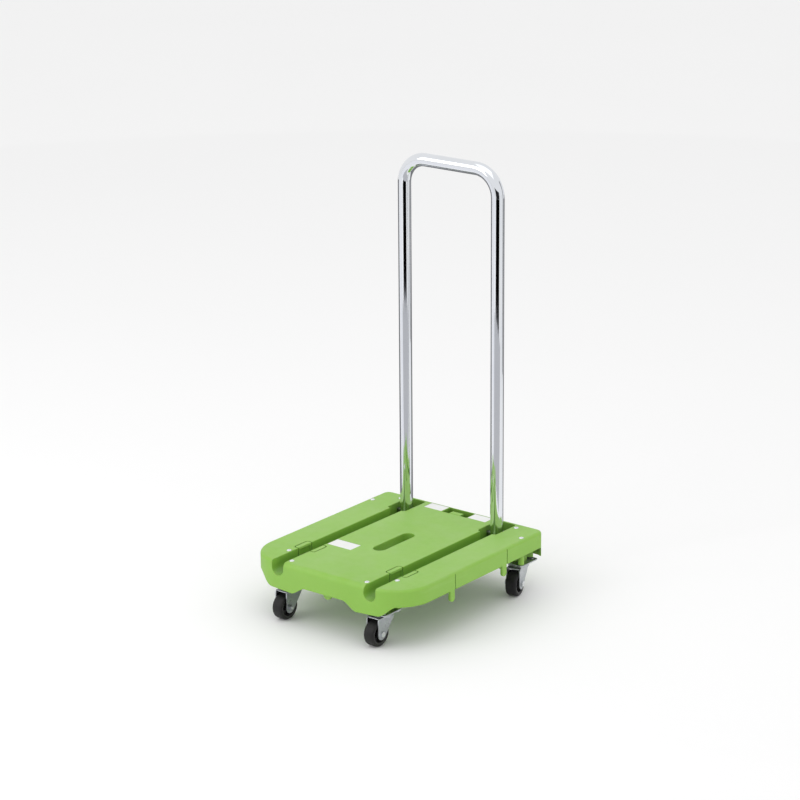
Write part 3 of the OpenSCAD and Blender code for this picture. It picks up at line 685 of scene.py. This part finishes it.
def soften(obj: bpy.types.Object, angle: float) -> None:
    """Shades a mesh smooth up to an angle.

    Args:
        obj: the mesh object.
        angle: in degrees.
    """
    mesh = obj.data
    mesh.polygons.foreach_set("use_smooth", [True] * len(mesh.polygons))
    mesh.set_sharp_from_angle(angle=math.radians(angle))


def lathe(profile: Profile, centre: Vector, axis: Vector,
          steps: int = 96) -> Tuple[List[Vector], List[Tuple[int, ...]]]:
    """Turns a closed outline about an axis.

    Args:
        profile: corners as (radius, distance along the axis), in millimetres.
        centre: the axis's middle point, in metres.
        axis: the axis.
        steps: faces round the turn.

    Returns:
        Points and faces.
    """
    turn = axis.normalized().to_track_quat("Z", "Y").to_matrix()
    points, faces = [], []
    n = len(profile)
    for i in range(steps):
        angle = 2 * math.pi * i / steps
        for r, a in profile:
            points.append(centre + turn @ Vector((r * math.cos(angle), r * math.sin(angle), a)) * MM)
    for i in range(steps):
        j = (i + 1) % steps
        for k in range(n):
            m = (k + 1) % n
            if profile[k][0] < 1e-6 and profile[m][0] < 1e-6:
                continue
            faces.append((i * n + k, i * n + m, j * n + m, j * n + k))
    return points, faces


def islands(node: str) -> List[Tuple[Vector, Vector]]:
    """Boxes of the separate solids in one CAD node.

    Args:
        node: the node's name.

    Returns:
        Lowest and highest corner of each solid.
    """
    mesh = frame["nodes"][node].data
    keys: Dict[Tuple[int, int, int], int] = {}
    same = [keys.setdefault(tuple(round(c * 1e5) for c in v.co), len(keys)) for v in mesh.vertices]
    parent = list(range(len(keys)))

    def root(a: int) -> int:
        """The first member of a vertex's group."""
        while parent[a] != a:
            parent[a] = parent[parent[a]]
            a = parent[a]
        return a

    for edge in mesh.edges:
        a, b = root(same[edge.vertices[0]]), root(same[edge.vertices[1]])
        parent[a] = b
    boxes: Dict[int, Tuple[Vector, Vector]] = {}
    for v in mesh.vertices:
        r = root(same[v.index])
        low, high = boxes.get(r, (v.co.copy(), v.co.copy()))
        boxes[r] = (Vector(map(min, low, v.co)), Vector(map(max, high, v.co)))
    return [boxes[r] for r in sorted(boxes, key=lambda r: tuple(boxes[r][0]))]


# ---------------------------------------------------------------- pieces


@dataclass
class Wheel:
    """One caster's tyre and wheel centre, turned in full detail.

    Sizes are in millimetres.
    """

    corner: str
    diameter: float = 50.0
    width: float = 22.0
    core_radius: float = 20.0
    bore: float = 9.0
    hub_half: float = 11.8
    spokes: int = 6

    def place(self) -> Tuple[Vector, Vector]:
        """Middle and axis of the wheel, from its joint."""
        for joint in frame["joints"]:
            if joint["name"] == "roll_" + self.corner:
                return Vector(joint["pos_m"]), Vector(joint["axis"])
        raise ValueError(self.corner)

    def tyre_profile(self) -> Profile:
        """Outline of the tyre: crowned tread, soft shoulders and a moulded ring on each wall.

        Returns:
            Radius and place along the axle of each point, in millimetres.
        """
        r, w, c = self.diameter / 2, self.width / 2, self.core_radius
        half = [(r, 0.0), (r - 0.02, w * 0.45), (r - 0.25, w * 0.68), (r - 0.8, w * 0.84),
                (r - 1.7, w * 0.955), (r - 2.3, w), (c + 1.9, w), (c + 1.6, w - 0.45),
                (c + 1.1, w - 0.45), (c + 0.8, w), (c, w)]
        low = [(a, -b) for a, b in reversed(half)]
        return half + low[:-1]

    def core_profile(self) -> Profile:
        """Outline of the wheel centre: hub, dished web and rim with a lip.

        Returns:
            Radius and place along the axle of each point, in millimetres.
        """
        w, c, b = self.width / 2, self.core_radius, self.bore / 2
        hub = b + 3.5
        half = [(b, 0.0), (b, self.hub_half - 0.3), (b + 0.3, self.hub_half), (hub - 0.5, self.hub_half),
                (hub, self.hub_half - 0.5), (hub + 0.2, 3.4), (hub + 1.4, 2.5), (c - 4.0, 2.5),
                (c - 2.9, 3.2),
                (c - 2.6, w - 1.2), (c - 2.1, w - 0.4), (c - 1.4, w - 0.1), (c, w - 0.1)]
        low = [(a, -z) for a, z in reversed(half)]
        return half + low[:-1]

    def spoke_mesh(self, centre: Vector, axis: Vector) -> Tuple[List[Vector], List[Tuple[int, ...]]]:
        """Ribs between hub and rim, on both faces of the web.

        Args:
            centre: the wheel's middle.
            axis: the wheel's axis.

        Returns:
            Points and faces.
        """
        turn = axis.normalized().to_track_quat("Z", "Y").to_matrix()
        points: List[Vector] = []
        faces: List[Tuple[int, ...]] = []
        inner, outer = self.bore / 2 + 3.2, self.core_radius - 2.4
        for k in range(self.spokes):
            spin = Matrix.Rotation(2 * math.pi * (k + 0.5) / self.spokes, 3, "Z")
            for side in (-1, 1):
                base = len(points)
                tall, low = self.width / 2 - 2.2, self.width / 2 - 5.0
                section = [(inner, 0.9, 2.0), (inner, -0.9, 2.0), (inner, 0.6, tall), (inner, -0.6, tall),
                           (outer, 0.9, 2.0), (outer, -0.9, 2.0), (outer, 0.6, low), (outer, -0.6, low)]
                points += [centre + turn @ (spin @ Vector((x, y, side * z))) * MM for x, y, z in section]
                order = [(0, 1, 5, 4), (2, 6, 7, 3), (0, 4, 6, 2), (1, 3, 7, 5), (0, 2, 3, 1), (4, 5, 7, 6)]
                faces += [tuple(base + q for q in (f if side > 0 else f[::-1])) for f in order]
        return points, faces

    def build(self, finishes: Finishes) -> None:
        """Makes the tyre and the centre and puts them in place of the plain ones.

        Args:
            finishes: the cart's finishes.
        """
        centre, axis = self.place()
        tyre = mesh_object("tyre_round_" + self.corner, *lathe(self.tyre_profile(), centre, axis, 128),
                           smooth=40)
        finishes.dress(tyre, "rubber")
        points, faces = lathe(self.core_profile(), centre, axis, 96)
        more, extra = self.spoke_mesh(centre, axis)
        faces += [tuple(len(points) + i for i in f) for f in extra]
        core = mesh_object("wheel_centre_" + self.corner, points + more, faces, smooth=32)
        finishes.dress(core, "black_plastic")
        for piece, node, slot in ((tyre, "tyre_", "rubber"), (core, "core_", "black_plastic")):
            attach(piece, "wheel_" + self.corner)
            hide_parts(node + self.corner)


@dataclass
class CasterBolts:
    """Domed bolts with a socket and a rolled thread, four to a pair of casters. Sizes are in millimetres."""

    pair: str
    shank: float = 5.0
    thread_length: float = 14.0
    pitch: float = 0.8
    socket: float = 1.6

    def outline(self, low: float, high: float, head: float) -> Profile:
        """Outline of one bolt about its own axis.

        Args:
            low: bottom of the shank.
            high: top of the head.
            head: radius of the head.

        Returns:
            The outline, from the axis at the tip to the axis at the socket.
        """
        r = self.shank / 2
        points: Profile = [(0.0, low), (r - 0.7, low), (r - 0.3, low + 0.5)]
        z = low + 0.8
        while z < low + self.thread_length:
            points += [(r - 0.35, z), (r, z + self.pitch * 0.5)]
            z += self.pitch
        brim = high - 2.7
        points += [(r, z + 0.4), (r, brim), (head, brim), (head, high - 1.2), (head * 0.94, high - 0.75),
                   (head * 0.8, high - 0.35), (head * 0.58, high - 0.08), (head * 0.4, high)]
        points += [(self.socket, high), (self.socket - 0.15, high - 0.25), (self.socket - 0.2, high - 1.3),
                   (0.0, high - 1.5)]
        return points

    def build(self, finishes: Finishes) -> None:
        """Makes this pair's bolts.

        Args:
            finishes: the cart's finishes.
        """
        node = "caster_bolts_" + self.pair
        points: List[Vector] = []
        faces: List[Tuple[int, ...]] = []
        for low, high in islands(node):
            centre = Vector(((low.x + high.x) / 2, (low.y + high.y) / 2, 0))
            outline = self.outline(low.z / MM, high.z / MM, (high.x - low.x) / 2 / MM)
            more, extra = lathe(outline, centre, Vector((0, 0, 1)), 40)
            faces += [tuple(len(points) + i for i in f) for f in extra]
            points += more
        bolts = mesh_object("domed_bolts_" + self.pair, points, faces, smooth=38)
        finishes.dress(bolts, "chrome_steel")
        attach(bolts, "base")
        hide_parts(node)


@dataclass
class CasterNuts:
    """Hexagon nuts with chamfered corners under the caster plates. Sizes are in millimetres."""

    pair: str
    chamfer: float = 0.45
    bore: float = 2.6

    def build(self, finishes: Finishes) -> None:
        """Makes this pair's nuts.

        Args:
            finishes: the cart's finishes.
        """
        node = "caster_nuts_" + self.pair
        points: List[Vector] = []
        faces: List[Tuple[int, ...]] = []
        for low, high in islands(node):
            across = (high.x - low.x) / 2 / MM
            centre = Vector(((low.x + high.x) / 2, (low.y + high.y) / 2, 0))
            zs = (low.z / MM, high.z / MM)
            base = len(points)
            for z, pull in ((zs[0], 1.0), (zs[0] + self.chamfer, 0.0), (zs[1] - self.chamfer, 0.0),
                            (zs[1], 1.0)):
                for k in range(NUT_STEPS):
                    a = 2 * math.pi * k / NUT_STEPS
                    off = (a + math.pi / 6) % (math.pi / 3) - math.pi / 6
                    flat = across * math.cos(math.pi / 6)
                    r = flat / math.cos(math.pi / 6 - abs(off))
                    r = min(r, flat * 1.01) if pull else r
                    points.append(centre + Vector((r * math.cos(a), r * math.sin(a), z)) * MM)
            for z in (zs[1], zs[0]):
                points += [centre + Vector((self.bore * math.cos(2 * math.pi * k / NUT_STEPS),
                                            self.bore * math.sin(2 * math.pi * k / NUT_STEPS), z)) * MM
                           for k in range(NUT_STEPS)]
            for ring in range(6):
                for k in range(NUT_STEPS):
                    m, up = (k + 1) % NUT_STEPS, (ring + 1) % 6
                    faces.append((base + ring * NUT_STEPS + k, base + ring * NUT_STEPS + m,
                                  base + up * NUT_STEPS + m, base + up * NUT_STEPS + k))
        nuts = mesh_object("chamfered_nuts_" + self.pair, points, faces, smooth=20)
        finishes.dress(nuts, "zinc_steel")
        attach(nuts, "base")
        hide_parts(node)


class CadPieces:
    """The pieces whose CAD shape is already the real one: each gets its finish."""

    def build(self, finishes: Finishes) -> int:
        """Dresses every CAD node by the record's slots.

        Args:
            finishes: the cart's finishes.

        Returns:
            How many nodes were dressed.
        """
        for part in frame["record"]["subparts"]:
            obj = frame["nodes"][part["node"]]
            finishes.dress(obj, part["material_slot"])
        return len(frame["record"]["subparts"])


@dataclass
class Studio:
    """A white sweep of floor, soft lamps, and dark cards that the chrome picks up."""

    target: Vector = field(default_factory=lambda: Vector((0.01308, 0.003, 0.40286)))
    azimuth: float = 38.18
    elevation: float = 17.69
    roll: float = -0.42
    distance: float = 5.29
    lens: float = 127.82

    def direction(self, azimuth: float, elevation: float) -> Vector:
        """Unit vector from the object towards a compass bearing and height, in degrees."""
        a, e = math.radians(azimuth), math.radians(elevation)
        return Vector((math.sin(a) * math.cos(e), -math.cos(a) * math.cos(e), math.sin(e)))

    def camera(self) -> None:
        """Sets up the main camera."""
        d = self.direction(self.azimuth, self.elevation)
        a, r = math.radians(self.azimuth), math.radians(self.roll)
        right = Vector((math.cos(a), math.sin(a), 0))
        up = right.cross(-d)
        across = right * math.cos(r) + up * math.sin(r)
        above = up * math.cos(r) - right * math.sin(r)
        data = bpy.data.cameras.new("Camera")
        data.lens, data.sensor_width, data.dof.use_dof = self.lens, 36.0, False
        data.clip_start, data.clip_end = 0.1, 60.0
        cam = bpy.data.objects.new("Camera", data)
        spin = Matrix((across, above, d)).transposed()
        cam.matrix_world = Matrix.Translation(self.target + d * self.distance) @ spin.to_4x4()
        bpy.context.scene.collection.objects.link(cam)
        bpy.context.scene.camera = cam

    def floor(self) -> None:
        """Lays the pale floor."""
        size = 30.0
        plane = mesh_object("Studio floor", [(-size, -size, 0), (size, -size, 0), (size, size, 0),
                                             (-size, size, 0)], [(0, 1, 2, 3)])
        material = bpy.data.materials.new("Studio white")
        material.use_nodes = True
        tree = Tree(material.node_tree)
        place = tree.add("TexCoord").outputs["Object"]
        tone = tree.mix(tree.spread(tree.noise(place, 1.5), 0.3, 0.7, 0.0, 0.25), (0.95, 0.95, 0.95),
                        (0.93, 0.93, 0.93))
        surface = material.node_tree.nodes["Principled BSDF"]
        tree.feed(surface.inputs["Base Color"], tone)
        surface.inputs["Roughness"].default_value = 0.85
        surface.inputs["Specular IOR Level"].default_value = 0.1
        below = tree.add("NewGeometry").outputs["Backfacing"]
        clear = tree.add("BsdfTransparent")
        either = tree.add("MixShader")
        tree.feed(either.inputs[0], below)
        tree.feed(either.inputs[1], surface.outputs[0])
        tree.feed(either.inputs[2], clear.outputs[0])
        tree.feed(material.node_tree.nodes["Material Output"].inputs["Surface"], either.outputs[0])
        plane.data.materials.append(material)

    def lamp(self, name: str, azimuth: float, elevation: float, far: float, size: float, power: float,
             tall: float = 0.0) -> None:
        """Hangs one soft lamp that faces the cart.

        Args:
            name: the lamp's name.
            azimuth: bearing, in degrees.
            elevation: height angle, in degrees.
            far: distance, in metres.
            size: width of its face, in metres.
            power: in watts.
            tall: height of its face, if it isn't square.
        """
        data = bpy.data.lights.new(name, "AREA")
        data.shape, data.size, data.size_y, data.energy = "RECTANGLE", size, tall or size, power
        lamp = bpy.data.objects.new(name, data)
        aim = Vector((0, 0, 0.35))
        d = self.direction(azimuth, elevation)
        lamp.matrix_world = Matrix.Translation(aim + d * far) @ d.to_track_quat("Z", "Y").to_matrix().to_4x4()
        bpy.context.scene.collection.objects.link(lamp)

    def unseen(self, name: str, points: Sequence[Sequence[float]], tone: float) -> None:
        """Puts up a flat card that only reflections see.

        Args:
            name: the card's name.
            points: its corners, in metres.
            tone: how light it is, from black at 0 to white at 1.
        """
        card = mesh_object(name, points, [tuple(range(len(points)))])
        material = bpy.data.materials.new(name)
        material.use_nodes = True
        surface = material.node_tree.nodes["Principled BSDF"]
        surface.inputs["Base Color"].default_value = (0, 0, 0, 1)
        surface.inputs["Roughness"].default_value = 1.0
        surface.inputs["Specular IOR Level"].default_value = 0.0
        surface.inputs["Emission Color"].default_value = (tone, tone, tone * 1.03, 1)
        surface.inputs["Emission Strength"].default_value = 1.0
        card.data.materials.append(material)
        card.visible_camera = card.visible_diffuse = card.visible_shadow = False

    def mat(self, name: str, bearing: float, half: float, near: float, far: float, tone: float,
            level: float = 0.002) -> None:
        """Lays a fan-shaped card on the floor, for the upright tubes to pick up.

        Args:
            name: the card's name.
            bearing: middle bearing, in degrees from the camera's.
            half: half of its spread, in degrees.
            near: distance of its near edge, in metres.
            far: distance of its far edge, in metres.
            tone: how light it is.
            level: height above the floor, in metres.
        """
        spread = [self.azimuth + bearing + half * t / 8 for t in range(-8, 9)]
        inner = [self.direction(a, 0) * near for a in spread]
        outer = [self.direction(a, 0) * far for a in reversed(spread)]
        self.unseen(name, [p + Vector((0, 0, level)) for p in inner + outer], tone)

    def screen(self, name: str, bearing: float, far: float, width: float, low: float, high: float,
               tone: float) -> None:
        """Stands a card upright, facing the cart.

        Args:
            name: the card's name.
            bearing: in degrees from the camera's.
            far: distance, in metres.
            width: its width, in metres.
            low: height of its lower edge.
            high: height of its upper edge.
            tone: how light it is.
        """
        d = self.direction(self.azimuth + bearing, 0)
        side = Vector((-d.y, d.x, 0)) * width / 2
        ends = [(-1, low), (1, low), (1, high), (-1, high)]
        self.unseen(name, [d * far + side * s + Vector((0, 0, z)) for s, z in ends], tone)

    def world(self, seen: float = 1.0, light: float = 0.93) -> None:
        """Surrounds the set with pale light.

        Args:
            seen: brightness behind the object.
            light: brightness that falls on it.
        """
        world = bpy.data.worlds.new("Studio")
        world.use_nodes = True
        bpy.context.scene.world = world
        nodes, links = world.node_tree.nodes, world.node_tree.links
        path = nodes.new("ShaderNodeLightPath")
        strength = nodes.new("ShaderNodeMapRange")
        strength.inputs["To Min"].default_value = light
        strength.inputs["To Max"].default_value = seen
        links.new(path.outputs["Is Camera Ray"], strength.inputs["Value"])
        back = nodes["Background"]
        back.inputs["Color"].default_value = (1.0, 1.0, 1.0, 1.0)
        links.new(strength.outputs["Result"], back.inputs["Strength"])

    def build(self) -> None:
        """Sets up camera, floor, lamps and cards."""
        self.camera()
        self.floor()
        self.world()
        self.lamp("Overhead", 20, 78, 2.8, 2.6, 9)
        self.lamp("Front left fill", -30, 32, 3.2, 1.8, 16)
        self.mat("Dark floor before the camera", 0, 30, 1.75, 4.2, 0.0)
        self.mat("Grey floor by the cart", 0, 55, 0.5, 1.75, 0.56)
        self.mat("Light gap left", -75, 22, 0.4, 4.0, 0.95, 0.003)
        self.mat("Dark floor behind left", -150, 34, 0.35, 4.2, 0.22)
        self.mat("Dark floor behind right", 150, 34, 0.35, 4.2, 0.22)
        self.screen("Dark screen before the camera", 0, 4.2, 4.4, 0.0, 1.3, 0.02)
        self.screen("Grey screen right", 100, 1.6, 0.5, 0.0, 1.6, 0.32)
        scene = bpy.context.scene
        scene.view_settings.view_transform = "Standard"
        scene.view_settings.look = "None"


def main() -> None:
    """Builds the set, the finishes and every piece."""
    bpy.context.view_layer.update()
    Studio().build()
    log.info("studio ready")
    finishes = Finishes(Effects())
    log.info("%d finishes", len(finishes.by_slot))
    log.info("%d CAD pieces dressed", CadPieces().build(finishes))
    for corner in CORNERS:
        Wheel(corner).build(finishes)
        log.info("wheel %s", corner)
    for pair in ("front", "rear"):
        CasterBolts(pair).build(finishes)
        CasterNuts(pair).build(finishes)
        log.info("fasteners %s", pair)


if __name__ == "__main__":
    main()
